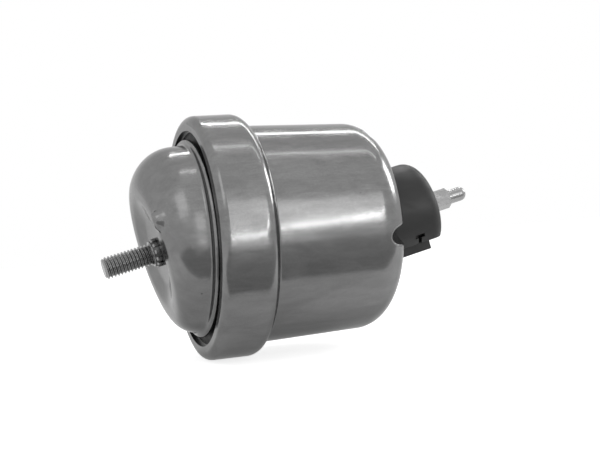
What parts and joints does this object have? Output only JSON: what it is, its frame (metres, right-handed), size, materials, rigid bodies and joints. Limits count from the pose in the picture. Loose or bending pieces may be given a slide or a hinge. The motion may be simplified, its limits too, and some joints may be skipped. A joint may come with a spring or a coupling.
{
  "type": "hydraulic engine mount",
  "caption": "Hydraulic engine mount: crimped steel can with a leaning dished stop cap and threaded stud above, and a keyed moulded boss with a locating pin below.",
  "frame": {"origin": "on the can axis at the foot of the collar, the level where the can drops into its bracket", "axes": "+Z along the can axis toward the stud; the stud leans toward -X and the lower pin toward +X, both in the XZ plane; the locating nib is on the -Y side"},
  "size_m": [0.0888, 0.0888, 0.1443],
  "materials": {
    "drawn_steel": "satin",
    "bright_steel": "bright",
    "plain_steel": "dull",
    "cast_aluminium": "as cast",
    "black_rubber": "matt",
    "black_moulding": "satin"
  },
  "bodies": {
    "root": {"can_housing": "drawn_steel", "stop_cap": "drawn_steel", "upper_stud": "bright_steel", "lock_ring": "bright_steel", "inner_core": "cast_aluminium", "bell_plate": "plain_steel", "main_spring": "black_rubber", "outer_ring": "plain_steel", "collar_seal": "black_rubber", "upper_channel_plate": "cast_aluminium", "lower_channel_plate": "cast_aluminium", "decoupler_disc": "black_rubber", "channel_rivet_1": "plain_steel", "channel_rivet_2": "plain_steel", "channel_rivet_3": "plain_steel", "channel_rivet_4": "plain_steel", "diaphragm": "black_rubber", "diaphragm_ring": "plain_steel", "end_boss": "black_moulding", "lower_pin": "bright_steel"}
  },
  "joints": []
}
